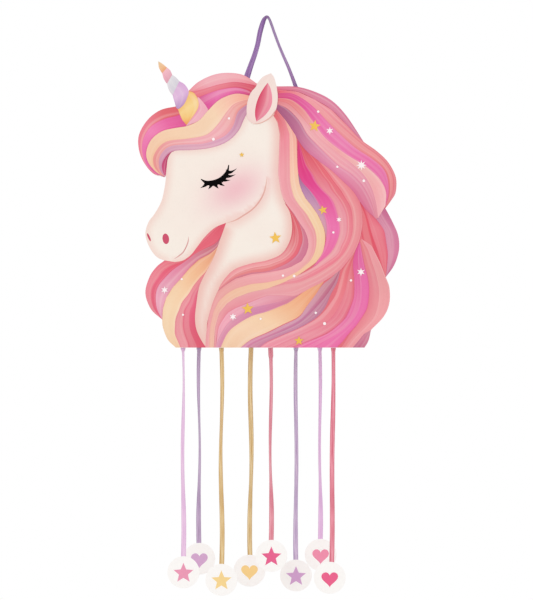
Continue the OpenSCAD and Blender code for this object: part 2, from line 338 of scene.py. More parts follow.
def make_paper():
    """Uncoated paper: faint mottling of the colour and a fine fibre relief, in the piece's own place."""
    group, entry = new_group("paper_grain", {"Colour": "NodeSocketColor",
                                             "Mottle": "NodeSocketFloat"})
    place = put(group, "ShaderNodeTexCoord").outputs["Object"]
    cloud = noise(group, place, 55.0, 5.0, 0.65)
    fibre = noise(group, place, 900.0, 3.0, 0.7)
    level = reckon(group, "SUBTRACT", cloud, 0.5)
    amount = reckon(group, "MULTIPLY_ADD", level, entry["Mottle"], 1.0)
    toned = put(group, "ShaderNodeHueSaturation", {"Color": entry["Colour"], "Value": amount})
    put(group, "NodeGroupOutput", {"Colour": toned.outputs[0], "Height": fibre})
    return group


paper_grain = make_paper()


def card(name, colour, mottle, roughness=0.7, specular=0.25):
    """Plain card or printed solid colour on paper."""
    finish, tree, shader = new_finish(name, roughness, specular)
    grain = put(tree, "ShaderNodeGroup", node_tree=paper_grain)
    grain.inputs["Colour"].default_value = tint(colour)
    grain.inputs["Mottle"].default_value = mottle
    join_effect(tree, shader, grain, 0.15, 0.1 * MM)
    return finish


def star_outline(radius, waist, tips=5):
    """A star with softly rounded tips, as points round its middle."""
    points = []
    for i in range(2 * tips):
        reach = radius if i % 2 == 0 else radius * waist
        for nudge in (-0.05, 0, 0.05) if i % 2 == 0 else (0,):
            angle = math.pi / 2 + math.pi * (i + nudge) / tips
            pull = reach * (1 - 1.8 * abs(nudge))
            points.append((pull * math.cos(angle), pull * math.sin(angle)))
    return points


def heart_outline(width):
    """A heart from the usual sine curve, as points round its middle."""
    points, count = [], 40
    for i in range(count):
        t = 2 * math.pi * i / count
        x = 16 * math.sin(t) ** 3
        z = 13 * math.cos(t) - 5 * math.cos(2 * t) - 2 * math.cos(3 * t) - math.cos(4 * t)
        points.append((x * width / 32, (z + 2.5) * width / 32))
    return points


def flat_print(bm, outline, centre, y, thick):
    """A thin printed shape that stands up in x and z, drawn towards the front from y."""
    verts = [bm.verts.new((centre[0] + x, y, centre[1] + z)) for x, z in outline]
    face = bm.faces.new(verts)
    face.normal_update()
    if face.normal.y > 0:
        face.normal_flip()
    grown = bmesh.ops.extrude_face_region(bm, geom=[face])
    moved = [g for g in grown["geom"] if isinstance(g, bmesh.types.BMVert)]
    bmesh.ops.translate(bm, vec=(0, -thick, 0), verts=moved)


tag_card = card("tag_card", "#ffffff", 0.015)
for number, (motif, colour) in enumerate(tag_motifs, 1):
    low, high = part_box(f"tag_front_{number}")
    middle = Vector(((low.x + high.x) / 2, high.y, (low.z + high.z) / 2))
    bm = bmesh.new()
    bmesh.ops.create_circle(bm, cap_ends=True, radius=tag_radius, segments=96)
    bmesh.ops.rotate(bm, cent=(0, 0, 0), verts=bm.verts,
                     matrix=Vector((0, 0, 1)).rotation_difference(Vector((0, -1, 0))).to_matrix())
    grown = bmesh.ops.extrude_face_region(bm, geom=bm.faces[:])
    moved = [g for g in grown["geom"] if isinstance(g, bmesh.types.BMVert)]
    bmesh.ops.translate(bm, vec=(0, tag_thick, 0), verts=moved)
    bmesh.ops.translate(bm, vec=middle - Vector((0, tag_thick / 2, 0)), verts=bm.verts)
    cut_edges = [e for e in bm.edges if len({round(v.co.y, 6) for v in e.verts}) == 1]
    bmesh.ops.bevel(bm, geom=cut_edges, offset=tag_round, offset_type="OFFSET", segments=2,
                    profile=0.5, affect="EDGES", material=-1)
    bmesh.ops.recalc_face_normals(bm, faces=bm.faces)
    disc = new_object(f"tag_{number}", bm, [tag_card])
    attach(disc, f"ribbon_{number}")
    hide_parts(f"tag_front_{number}", f"tag_back_{number}")
    shape = star_outline(star_size, star_waist) if motif == "star" else heart_outline(heart_size)
    motif_height = middle.z - (star_drop if motif == "star" else heart_drop)
    bm = bmesh.new()
    flat_print(bm, shape, (middle.x, motif_height), middle.y - tag_thick / 2, print_lift)
    flat_print(bm, shape, (middle.x, motif_height), middle.y + tag_thick / 2 + print_lift,
               print_lift)
    bmesh.ops.recalc_face_normals(bm, faces=bm.faces)
    ink = new_object(f"tag_{motif}_{number}", bm, [card(f"tag_ink_{number}", colour, 0.10, 0.5)])
    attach(ink, f"ribbon_{number}")

# ---- Pull ribbons -----------------------------------------------------------------------------
# Eight 6 mm satin ribbons hang straight under the floor and end between the discs of their tags.
# They keep a little of the twist and wave that they had on the spool. The one that opens the
# trapdoor starts flat, against the opened door.
ribbon_width = 6 * MM
ribbon_cup = 0.35 * MM
ribbon_steps = 70
# Heights and lengths in millimetres, and the share of the pull ribbon that lies flat at its top
tag_grip = 12
ribbon_top = -417.3
pull_number = 5
pull_flat = 0.035
# Shares of a ribbon's length: where it lies flat again, and how long it takes to flatten and to turn
flat_again, flatten_run, turn_run = 0.95, 0.35, 0.018
# Steps crowd towards the floor by this power, and a ribbon drifts by this share towards its tag
step_power, drift_share = 1.5, 0.5
# Degrees of the sideways wave, radians of the slow and quick twists, and the quick one's strength
side_wave, slow_twist, quick_twist, quick_share = 540, 5.2, 13, 0.45
# x at the floor, sideways wave, turn at the top and how far it turns on its way down, in degrees,
# colour and shadow colour
pull_ribbons = [
    (-105, 0.8, 50, 12, "#f3d3f1", "#deb0df"), (-85.5, -0.8, 54, -10, "#d2bbdc", "#977ba7"),
    (-57, 1.0, 34, -12, "#f0d8a6", "#c29342"), (-20, -1.0, 26, 14, "#f1dbab", "#c1984e"),
    (4.5, 0.8, 50, 8, "#f6b0be", "#cb4c6d"), (36.5, -0.6, 50, -12, "#ddcbe7", "#a98dc0"),
    (66.5, 0.6, 58, -8, "#efcaf0", "#dbade0"), (83, 0.5, 26, 14, "#f8a4b7", "#cb4462"),
]
for number, (x, wave, turn, twist, colour, shadow) in enumerate(pull_ribbons, 1):
    low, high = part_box(f"ribbon_{number}")
    disc_low, disc_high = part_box(f"tag_front_{number}")
    y = (low.y + high.y) / 2 / MM
    tag_x = (disc_low.x + disc_high.x) / 2 / MM
    ribbon_end = disc_high.z / MM - tag_grip
    route = []
    for k in range(ribbon_steps + 1):
        s = (k / ribbon_steps) ** step_power
        lean = (turn + twist * math.sin(slow_twist * s + number)
                + quick_share * twist * math.sin(quick_twist * s))
        below_flat = max(0, s - (pull_flat if number == pull_number else 0))
        flatten = min(1, max(0, flat_again - s) / flatten_run, below_flat / turn_run)
        sway = wave * math.sin(math.radians(side_wave * s))
        route.append((x + (tag_x - x) * drift_share * s + sway, y,
                      ribbon_top + (ribbon_end - ribbon_top) * s,
                      lean * flatten * flatten * (3 - 2 * flatten)))
    finish = satin(f"satin_{number}", colour, shadow)
    piece = strip(f"pull_ribbon_{number}", route, ribbon_width, ribbon_cup, finish)
    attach(piece, f"ribbon_{number}")
    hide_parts(f"ribbon_{number}")

# ---- Knots ------------------------------------------------------------------------------------
# Each ribbon that hangs from the floor or the hook is held by an overhand knot on the inside, pulled
# tight over its slot. They are only seen with the filling flap or the trapdoor open.
strand_radius = 0.8 * MM
knot_reach = 3 * MM
knot_drop = 3.1 * MM
loop_knot_reach = 4 * MM


def tube(bm, points, radius, sides=8):
    """A closed round strand along a closed loop of points."""
    made = bmesh.ops.create_grid(bm, x_segments=len(points), y_segments=sides, size=0.5)
    count = len(points)
    for v in made["verts"]:
        i, angle = round((v.co.x + 0.5) * count) % count, 2 * math.pi * (v.co.y + 0.5)
        heading = (points[(i + 1) % count] - points[i - 1]).normalized()
        side = heading.cross(Vector((0.2, 0.3, 1))).normalized()
        v.co = points[i] + radius * (side * math.cos(angle) + heading.cross(side) * math.sin(angle))
    bmesh.ops.remove_doubles(bm, verts=bm.verts, dist=0.01 * MM)


def tied_knot(bm, centre, reach):
    """An overhand knot as a trefoil, as far across as twice the reach."""
    size = (reach - strand_radius) / 3
    points = []
    for i in range(60):
        t = 2 * math.pi * i / 60
        points.append(Vector(centre) + size * Vector((
            math.sin(t) + 2 * math.sin(2 * t), -1.1 * math.sin(3 * t),
            math.cos(t) - 2 * math.cos(2 * t))))
    tube(bm, points, strand_radius)


def knots(name, centres, reach, body, node, finish, slot):
    """A row of tied knots as one piece."""
    bm = bmesh.new()
    for centre in centres:
        tied_knot(bm, centre, reach)
    bmesh.ops.recalc_face_normals(bm, faces=bm.faces)
    for face in bm.faces:
        face.smooth = True
    piece = new_object(name, bm, [finish])
    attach(piece, body)
    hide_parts(node)


knot_satin = card("knot_satin", "#d9a2c8", 0.2, 0.4)
loop_knot_satin = card("loop_knot_satin", loop_colour, 0.2, 0.4)
knot_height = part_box("decoy_knots")[1].z - knot_drop
row_centres = []
for number in (1, 2, 3, 4, 6, 7, 8):
    a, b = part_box(f"ribbon_{number}")
    row_centres.append((pull_ribbons[number - 1][0] * MM, (a.y + b.y) / 2, knot_height))
knots("decoy_ties", row_centres, knot_reach, "box", "decoy_knots", knot_satin, "knot_satin")
low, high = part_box("pull_knot")
pull_centre = ((low.x + high.x) / 2, (low.y + high.y) / 2, high.z - knot_drop)
knots("pull_tie", [pull_centre], knot_reach, "trapdoor", "pull_knot", knot_satin, "knot_satin")
loop_centres = [(p[0], p[1], p[2] - loop_knot_reach) for p in (loop_points[0], loop_points[-1])]
knots("loop_ties", loop_centres, loop_knot_reach, "box", "loop_knots", loop_knot_satin,
      "loop_satin")

# ---- Card body --------------------------------------------------------------------------------
# Two die-cut panels of 2 mm white board, a wall of thinner card bent round their edge on folded
# glue tabs, and a floor with a trapdoor and reinforcing patches of grey board.
white_card = card("white_card", "#f7e9ea", 0.05, 0.75)
grey_card = card("grey_card", "#d9d2c8", 0.12, 0.85)
print_paper = card("print_paper", "#e4717f", 0.08, 0.6)
inner_nodes = ("loop_pads", "pull_patch")
print_nodes = ("front_print", "back_print", "fill_flap_print")
for node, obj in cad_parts.items():
    if obj.hide_render or node.startswith(("ribbon", "tag")):
        continue
    if node in inner_nodes:
        finish = grey_card
    elif node in print_nodes:
        finish = print_paper
    else:
        finish = white_card
    obj.data.materials.clear()
    obj.data.materials.append(finish)

# ---- Print sheet ------------------------------------------------------------------------------
# The picture is printed on a matt paper sheet that covers the whole panel. Each lock of hair, the
# face and every star is a thin printed shape; where two overlap, the later one is printed on top.
# Hair inks run in fine streaks along each lock.
print_step = 0.02 * MM
print_thick = 0.015 * MM
# Thick ink takes each channel to this power, and a lock's shade falls from its lines by this one
thick_ink = (1.38, 1.5, 1.32)
shade_fall = 2.2
# How far the streaks of one lock are shifted from those of the next, for each point printed before
streak_shift = 0.0137
picture = {}
layer_finish = {}


def sheet_edge():
    """The edge of the printed sheet as one closed line of (x, z) in millimetres."""
    bm = bmesh.new()
    bm.from_mesh(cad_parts["front_print"].data)
    bmesh.ops.remove_doubles(bm, verts=bm.verts, dist=0.001 * MM)
    bm.normal_update()
    back = [f for f in bm.faces if f.normal.y > -0.9]
    bmesh.ops.delete(bm, geom=back, context="FACES")
    start = next(v for v in bm.verts if v.is_boundary)
    line, edge = [start], next(e for e in start.link_edges if e.is_boundary)
    while True:
        v = edge.other_vert(line[-1])
        if v == start:
            break
        line.append(v)
        edge = next(e for e in v.link_edges if e.is_boundary and e != edge)
    points = [(v.co.x / MM, v.co.z / MM) for v in line]
    bm.free()
    area = sum(a[0] * b[1] - b[0] * a[1] for a, b in zip(points, points[1:] + points[:1]))
    return points if area < 0 else points[::-1]


edge_line = sheet_edge()


def rim(start, end):
    """The sheet's own edge, clockwise from the corner near start to the one near end."""
    first, last = [min(range(len(edge_line)), key=lambda i: math.dist(edge_line[i], corner))
                   for corner in (start, end)]
    stop = last if last > first else last + len(edge_line)
    return [edge_line[i % len(edge_line)] for i in range(first, stop + 1)]


def evenly(line, count):
    """That many steps of equal length along a smooth line through the points."""
    fine = curve(line, 1 if len(line) > 24 else 8)
    run = [0.0]
    for a, b in zip(fine, fine[1:]):
        run.append(run[-1] + math.dist(a, b))
    points, i = [], 0
    for k in range(count + 1):
        goal = run[-1] * k / count
        while i < len(fine) - 2 and run[i + 1] < goal:
            i += 1
        t = (goal - run[i]) / max(run[i + 1] - run[i], 1e-9)
        points.append(tuple(a + (b - a) * min(t, 1) for a, b in zip(fine[i], fine[i + 1])))
    return points, run[-1]


def inks_along(inks, u):
    """The colour at u along a row of inks."""
    place = u * (len(inks) - 1)
    i = min(int(place), len(inks) - 2) if len(inks) > 1 else 0
    a, b = tint(inks[i]), tint(inks[min(i + 1, len(inks) - 1)])
    return [p + (q - p) * (place - i) for p, q in zip(a, b)]


def deeper(colour):
    """The same ink laid on thicker, which takes most from what it already darkens."""
    return [channel ** power for channel, power in zip(colour, thick_ink)] + [1]


def printed(group):
    """The mesh that a group of printed shapes is drawn into."""
    if group not in picture:
        bm = bmesh.new()
        bm.verts.layers.float_color.new("ink")
        bm.verts.layers.float_color.new("deep")
        bm.verts.layers.float.new("shade")
        bm.loops.layers.uv.new("lock")
        picture[group] = bm
    return picture[group]


def lock(group, level, near, far, inks, shade, steps=44, rows=8, far_inks=None):
    """A lock of hair between two lines of (x, z): its inks run from root to tip, and shade says how
    much deeper they are along each line. It may have other inks along the far line."""
    bm = printed(group)
    layers = bm.verts.layers
    ink, deep, dark = layers.float_color["ink"], layers.float_color["deep"], layers.float["shade"]
    uv = bm.loops.layers.uv["lock"]
    near_line, length = evenly(near, steps)
    far_line, _ = evenly(far, steps)
    made = bmesh.ops.create_grid(bm, x_segments=steps, y_segments=rows, size=0.5)["verts"]
    seed = len(bm.verts) * streak_shift
    spot = {v: (v.co.x + 0.5, v.co.y + 0.5) for v in made}
    for v, (u, w) in spot.items():
        i = round(u * steps)
        a, b = near_line[i], far_line[i]
        v.co = ((a[0] + (b[0] - a[0]) * w) * MM, front_y - level * print_step,
                (a[1] + (b[1] - a[1]) * w) * MM)
        one, other = inks_along(inks, u), inks_along(far_inks or inks, u)
        v[ink] = [p + (q - p) * w for p, q in zip(one, other)]
        v[deep] = deeper(v[ink])
        v[dark] = shade[0] * (1 - w) ** shade_fall + shade[1] * w ** shade_fall
    faces = {f for v in made for f in v.link_faces}
    for face in faces:
        for loop in face.loops:
            u, w = spot[loop.vert]
            loop[uv].uv = (u * length * MM + seed, w)
    return faces


def patch(group, level, outline, ink_colour, cell=0):
    """A filled outline of (x, z); with a cell size it is cut into a net so that shading can follow."""
    bm = printed(group)
    layers = bm.verts.layers
    verts = [bm.verts.new((x * MM, front_y - level * print_step, z * MM)) for x, z in outline]
    face = bm.faces.new(verts)
    made = {face}
    if cell:
        for axis in (0, 2):
            low = min(v.co[axis] for v in verts)
            high = max(v.co[axis] for v in verts)
            count = int((high - low) / (cell * MM))
            for k in range(1, count + 1):
                middle = [0, 0, 0]
                middle[axis] = low + (high - low) * k / (count + 1)
                normal = [0, 0, 0]
                normal[axis] = 1
                geom = [g for f in made for g in (f, *f.edges, *f.verts)]
                cut = bmesh.ops.bisect_plane(bm, geom=list(dict.fromkeys(geom)), plane_co=middle,
                                             plane_no=normal, dist=1e-7)
                made = {g for g in cut["geom"] if isinstance(g, bmesh.types.BMFace)}
    for v in {v for f in made for v in f.verts}:
        v[layers.float_color["ink"]] = tint(ink_colour)
        v[layers.float_color["deep"]] = deeper(tint(ink_colour))
    return made


def sheet_piece(name, bm, finish, body):
    """A printed layer as a thin closed shell that lies on the sheet."""
    piece = new_object(name, bm, [finish])
    wall = piece.modifiers.new("ink_thickness", "SOLIDIFY")
    wall.thickness = print_thick
    wall.offset = -1
    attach(piece, body)


def print_layer(group, finish):
    """Turns a group of printed shapes to the front and lays it on the sheet as one piece."""
    bm = picture[group]
    bm.normal_update()
    backward = [f for f in bm.faces if f.normal.y > 0]
    bmesh.ops.reverse_faces(bm, faces=backward)
    layer_finish[group] = finish
    sheet_piece(f"print_{group}", bm.copy(), finish, "box")


def printed_finish(name):
    """A finish for printed shapes, and their ink, the same ink laid on thicker, and their shade."""
    finish, tree, shader = new_finish(name, 0.62, 0.12)
    marks = [put(tree, "ShaderNodeAttribute", attribute_name=mark).outputs[output]
             for mark, output in (("ink", "Color"), ("deep", "Color"), ("shade", "Fac"))]
    return finish, tree, shader, *marks


def on_paper(tree, shader, colour, mottle):
    """Lays a colour on the paper and joins it to the shader."""
    grain = put(tree, "ShaderNodeGroup", {"Colour": colour, "Mottle": mottle},
                node_tree=paper_grain)
    join_effect(tree, shader, grain, 0.1, 0.08 * MM)


hair_print, tree, shader, ink, deep, dark = printed_finish("hair_print")
uv = put(tree, "ShaderNodeUVMap", uv_map="lock").outputs[0]
broad = noise(tree, stretched(tree, uv, (3.5, 2.7, 1)), 1.0, 2.0)
fine = noise(tree, stretched(tree, uv, (11, 8, 1)), 1.0, 3.0, 0.55)
streaks = reckon(tree, "MULTIPLY_ADD", fine, 0.14, -0.07)
tones = reckon(tree, "MULTIPLY_ADD", broad, 1.0, -0.57)
across = put(tree, "ShaderNodeSeparateXYZ", {0: uv}).outputs["Y"]
from_middle = reckon(tree, "ABSOLUTE", reckon(tree, "SUBTRACT", across, 0.5))
edge_ink = ranged(tree, from_middle, (0.42, 0.5), (0.0, 0.3))
marks = reckon(tree, "ADD", edge_ink, dark)
depth = reckon(tree, "ADD", reckon(tree, "ADD", streaks, tones), marks, clamp=True)
gloss = ranged(tree, broad, (0.5, 0.35), (0.0, 0.14))
lit = blend(tree, gloss, blend(tree, depth, ink, deep), tint("#fff2ee"))
on_paper(tree, shader, lit, 0.06)

# ---- Back of the mane -------------------------------------------------------------------------
# The parts of the mane that lie furthest back: the red hollow behind the nape, the mauve lobe in the
# middle, and the salmon and rose locks that hang down the right side to the foot.
mid_lobe_edge = [(137, -257), (146, -270), (149, -285), (151, -300), (150, -315), (148.5, -329)]
lock("mane_back", 1, [(106, -220), (114, -245), (117, -270), (124, -295), (136, -316), (148, -328)],
     [(122, -240), (134, -258), (141, -275), (145, -295), (146, -312), (148, -328)],
     ["#da4a5e", "#e4566a", "#e05f70", "#e2707c"], (0.3, 0.1))
lock("mane_back", 2, [(120, -240), (126, -256), (131, -275), (138, -295), (143, -312), (148, -328)],
     [(126, -238)] + mid_lobe_edge, ["#e3647b", "#eb8694", "#e9808e", "#e67a86"], (0.1, 0.5))
lock("mane_back", 3, [(128, -244)] + mid_lobe_edge, rim((148, -243), (148.5, -329)),
     ["#ca7498", "#d889a8", "#db87a8", "#ca7498"], (0.6, 0.15))
foot_line = [(130, -395), (121, -400), (113, -410), (107, -417)]
lock("mane_back", 3, foot_line, rim((130, -395), (122, -417)), ["#ce879c", "#d37e99", "#c97492"],
     (0.6, 0.2))
tail_edge = [(118, -281), (131, -290), (136, -300), (142, -312), (148.5, -329)]
tail_edge = tail_edge + rim((148.5, -329), (130, -395))[1:] + foot_line[1:]
tail_mid = [(118, -281), (126, -295), (131, -310), (136, -325), (140, -345), (139, -362), (134, -378),
            (124, -390), (112, -402), (104, -411), (100, -417)]
tail_left = [(116, -284), (119, -300), (122, -315), (126, -330), (127.5, -345), (126.5, -360),
             (124, -370), (118, -380), (111, -390), (103, -400), (97, -410), (92, -417)]
lock("mane_back", 4, tail_left, tail_mid, ["#e78b90", "#e8939d", "#ed98a0", "#ea9098"], (0.7, 0.1))
lock("mane_back", 5, tail_mid, tail_edge, ["#efa2ab", "#eba4a7", "#f3a9ae", "#efa0a8"], (0.25, 0.3))
rose_right = tail_left[:-3] + [(102, -400), (94, -410), (87, -417)]
rose_mid = [(116, -284), (114, -300), (115, -320), (117, -340), (116, -360), (111, -375), (102, -388),
            (88, -400), (68, -412), (60, -417)]
rose_left = [(116, -284), (110, -298), (107.5, -312), (109, -330), (109, -350), (107, -360),
             (103, -370), (98, -380), (88, -390), (74, -400), (50, -410), (32, -417)]
lock("mane_back", 6, rose_left, rose_mid, ["#de5a97", "#e66ba4", "#ec7fb0", "#ee79ad"], (0.25, 0.05))
lock("mane_back", 7, rose_mid, rose_right, ["#e06aa4", "#ea79b0", "#ee7cb4", "#ed7cb0"], (0.05, 0.35))
print_layer("mane_back", hair_print)

# ---- Lower locks ------------------------------------------------------------------------------
# Coral, mauve, peach and pink locks that sweep from the right shoulder down to the foot, each one
# over the lock below it.
coral_left = [(110, -297), (96, -318), (92, -330), (86, -350), (80, -360), (72, -371), (60, -382),
              (40, -393), (20, -401.5), (0, -410.5), (-9, -417)]
coral_mid = [(111, -296), (103, -320), (98, -345), (90, -365), (78, -382), (60, -393), (40, -402),
             (20, -411), (6, -417)]
lock("mane_low", 1, coral_left, coral_mid, ["#df6f79", "#ec848d", "#ed8e9a", "#ec9dab", "#f099ac"],
     (0.1, 0.3))
lock("mane_low", 2, coral_mid, [(112, -295), (108, -310), (108, -330), (108.5, -350), (107, -360),
                                (103, -370), (98, -380), (88, -390), (74, -399), (50, -410),
                                (32, -417)],
     ["#dd6c77", "#ea8c97", "#e98698", "#ec94a4", "#ea8a9e"], (0.15, 0.6))
mauve_far = [(92, -318), (88, -335), (80, -350), (72, -368), (60, -381), (40, -392.5), (20, -401),
             (0, -410), (-9, -417)]
mauve_mid = [(92, -318), (85, -335), (74, -352), (58, -370), (40, -386), (20, -396), (0, -404),
             (-20, -413), (-24, -417)]
mauve_near = [(92, -318), (80, -330), (70, -338), (60, -351), (50, -365), (40, -379), (20, -389),
              (0, -399), (-20, -407.5), (-33, -417)]
lock("mane_low", 3, mauve_near, mauve_mid, ["#c27c8f", "#cd879b", "#cd8dac", "#d691ac", "#dd96b4"],
     (0.2, 0.6))
lock("mane_low", 4, mauve_mid, mauve_far, ["#c27a92", "#c889a2", "#cd92ae", "#d693ac"], (0.1, 0.55))
dusk_edge = [(45, -347), (30, -359), (20, -364), (0, -372), (-20, -378), (-40, -390), (-50, -400),
             (-58, -417)]
lock("mane_low", 5, [(72, -333), (60, -337)] + dusk_edge[1:],
     [(72, -333), (62, -349), (50, -365), (40, -378), (20, -388), (0, -398), (-20, -407),
      (-33, -417)],
     ["#e8a588", "#f2b088", "#f4c29c", "#f8d6b4", "#f8d8ba", "#f4d0b0"], (0.15, 0.4))
pink_edge = [(45, -347), (20, -358), (0, -363), (-20, -368), (-40, -380), (-50, -388), (-60, -405),
             (-63, -417)]
lock("mane_low", 6, pink_edge, dusk_edge, ["#da8f9a", "#dc8ca8", "#d890b3", "#e29cb3", "#dd94b2"],
     (0.2, 0.45))
lock("mane_low", 7, [(45, -347), (20, -351), (0, -351), (-20, -359), (-40, -367), (-50, -374),
                     (-60, -390), (-64, -417)], pink_edge,
     ["#e08fa0", "#e79eaf", "#eba9bb", "#f3abbe", "#e8a4b7"], (0.1, 0.5))
print_layer("mane_low", hair_print)

# ---- Shoulder bundle --------------------------------------------------------------------------
# A thick bundle swings out from the nape over the shoulder and sweeps back to the foot: lilac, hot
# pink and three salmon locks.
outer_edge = [(62, -176), (75, -188), (88, -200), (102, -212), (110, -222), (114.5, -230),
              (117.5, -240), (119, -250), (119.5, -260), (118.5, -270), (116.5, -280), (113, -290),
              (108, -300), (100, -310), (92, -320), (78, -330), (68, -336), (55, -342), (45, -348),
              (35, -353), (20, -352), (0, -352), (-20, -360), (-40, -368), (-50, -374), (-60, -390),
              (-63, -404), (-64, -417)]
salmon_line = [(50, -168), (64, -184), (77, -200), (84, -210), (92, -220), (98, -230), (104, -240),
               (106.5, -250), (107, -260), (107, -270), (105, -280), (101, -290), (95, -300),
               (85, -310), (70, -320), (60, -326), (40, -335), (20, -338), (0, -342.5), (-20, -346),
               (-40, -353.5), (-50, -360.5), (-60, -372), (-65, -391), (-66, -417)]
lock("shoulder", 8, salmon_line, outer_edge,
     ["#e67f89", "#ee929a", "#ec9ea2", "#eea0a6", "#eca5aa", "#eca9b0", "#eda2aa", "#f1aab0"],
     (0.15, 0.75), 70, 10)
inner_line = [(42, -161), (57, -182), (68, -200), (76, -210), (81, -220), (89, -230), (95, -240),
              (99, -250), (100, -260), (100, -270), (98, -280), (93, -290), (89, -300), (76, -310),
              (60, -320), (40, -330), (20, -334.5), (0, -340)]
coral_line = salmon_line[:19]
lock("shoulder", 9, inner_line, coral_line,
     ["#df606c", "#e97581", "#e88390", "#ee909c", "#ef8c9b", "#ed95a1", "#ec9ca6"], (0.2, 0.4), 60)
hot_line = [(39, -157), (46, -180), (50, -190), (57, -200), (62, -210), (70, -220), (80, -230),
            (85, -240), (88, -250), (90, -260), (91, -270), (89, -280), (85, -290), (78, -300),
            (65, -311), (57, -317)]
lock("shoulder", 10, hot_line + [(40, -326), (20, -332.5), (0, -338.5)], inner_line,
     ["#d85462", "#e67683", "#ec95a2", "#eda3ae", "#eea8b0", "#f0abb1", "#eeaab0", "#eeaab0"],
     (0.25, 0.3), 60)
lilac_line = [(38.5, -157), (38, -180), (38.5, -203), (44, -211), (53, -221), (60, -230), (66, -240),
              (71, -250), (74, -260), (75, -270), (74, -280), (72, -290), (68, -300), (62, -310),
              (57, -317)]
lock("shoulder", 11, lilac_line, hot_line,
     ["#d4417a", "#e04886", "#e44f95", "#e967a6", "#ed7cb4", "#ed76ad", "#e872a4"], (0.3, 0.25), 60)
lock("shoulder", 12, [(36, -195), (40, -210), (43, -220), (48, -230), (56, -240), (63, -250),
                      (68, -260), (72, -270), (74, -281)],
     [(38.5, -198), (44, -210), (53, -220), (60, -229.5), (66, -240), (71, -250), (74, -260),
      (75, -270), (74, -281)],
     ["#a66b8d", "#b985b0", "#c99ab8", "#d69db3", "#d392a5"], (0.2, 0.6))
print_layer("shoulder", hair_print)

# ---- High lobe --------------------------------------------------------------------------------
# From behind the ear the hair falls in one wide lobe: mauve on top, then two salmon locks, hot pink,
# beige, rose, and a dark mauve one under it.
nape_line = [(12, -94.5), (38, -97), (60, -107), (80, -119), (100, -139), (112, -152), (121, -160)]
lobe_rim = rim((121, -160), (148, -243))
pink_top = [(14, -99), (30, -99), (45, -106), (60, -118), (75, -134), (90, -149), (110, -167),
            (130, -180), (145, -193), (151, -207), (152, -225), (148.3, -240)]
mauve_edge = [(26, -119), (40, -133), (50, -150), (60, -161), (75, -176), (90, -190), (105, -200),
              (118, -213), (127, -228), (133, -244), (136, -256)]
lock("high_lobe", 16, [(11, -118), (24, -134), (34, -149), (41, -161), (50, -172), (65, -184),
                       (80, -195), (95, -209), (108, -222), (117, -236), (125, -246), (133, -253)],
     [(14, -112)] + mauve_edge,
     ["#a96084", "#c07698", "#dc8dac", "#e694b2", "#e08aa6", "#dc829d"], (0.5, 0.0), 60)
rose_line = [(14, -108), (28, -113), (44, -129), (60, -149), (75, -163), (90, -175), (105, -186),
             (120, -200), (130, -216), (136, -235), (139, -255)]
lock("high_lobe", 17, [(14, -113)] + mauve_edge, rose_line,
     ["#e38a90", "#f0b0b6", "#f1abb4", "#e9a0b4", "#e293a2"], (0.55, 0.05), 60)
beige_line = [(14, -105), (30, -107), (45, -118), (55, -131), (62, -141), (75, -157), (100, -176),
              (120, -188), (135, -200), (144, -211), (149, -224), (148, -240)]
lock("high_lobe", 18, rose_line, beige_line,
     ["#e57c82", "#eb9998", "#f4b4ba", "#f3adb0", "#f1bcba", "#f4b4b6", "#f5bac0"], (0.4, 0.05), 60)
lock("high_lobe", 19, beige_line, pink_top,
     ["#d95784", "#e465a2", "#ec79b2", "#ec84b6", "#ec79b0", "#e87cb0", "#e46c9a"], (0.25, 0.1), 60)
lobe_mid = [(16, -97), (34, -98), (50, -104), (68, -117), (86, -134), (104, -150), (122, -165),
            (140, -178), (153, -193), (158, -208), (156.5, -226), (148.6, -241)]
lock("high_lobe", 20, pink_top, lobe_mid,
     ["#e8707f", "#f1a6ac", "#f0a4a8", "#ee9da2", "#ee979b", "#ea8b90", "#e27f88"], (0.55, 0.1), 60)
lock("high_lobe", 21, lobe_mid, nape_line + lobe_rim[1:],
     ["#e8707f", "#f3a9b2", "#f0a2aa", "#ec969c", "#e98b94", "#e6848e", "#e38090"], (0.45, 0.4), 60)
lock("high_lobe", 22, nape_line, rim((12, -90.5), (121, -160)),
     ["#e0718c", "#dc859f", "#df8ba7", "#da84a2", "#d07c9b"],
     (0.1, 0.3), 60)
print_layer("high_lobe", hair_print)

# ---- Neck bundle ------------------------------------------------------------------------------
# Three locks hug the neck from the ear to the foot: salmon, rose and peach. Small under-locks of
# salmon, red and mauve show between them and the neck.
throat_line = [(22, -236), (29, -249), (31.5, -268), (28, -285), (18, -300), (0, -308), (-20, -312),
               (-40, -319), (-52, -330), (-60, -342)]
under_one = [(23, -237), (31, -252), (36, -268), (37, -280), (35, -290), (29, -300), (20, -307),
             (10, -311), (0, -314.5), (-20, -318), (-40, -326), (-60, -343)]
under_two = [(24, -238), (34, -252), (40, -262), (44, -275), (44, -285), (41.5, -292), (38, -300),
             (30, -308), (20, -314), (0, -321.5), (-20, -323.5), (-40, -330), (-60, -344)]
neck_left = [(8, -127), (13, -135), (16, -150), (15, -175), (14, -200), (17, -220), (20, -230),
             (26, -240), (34, -250), (40, -260), (47, -270), (51, -280), (52, -290), (49, -300),
             (43, -309), (30, -316), (20, -319.5), (0, -323), (-20, -325), (-40, -331),
             (-52, -339), (-62, -347), (-68, -361), (-73, -378), (-76, -400), (-77, -417)]
neck_one = [(12, -124), (18, -135), (21, -150), (22, -190), (22, -210), (24, -220), (27, -230),
            (35, -240), (42, -250), (47, -260), (54, -270), (57, -280), (57, -290), (55, -300),
            (50, -309), (41, -318)]
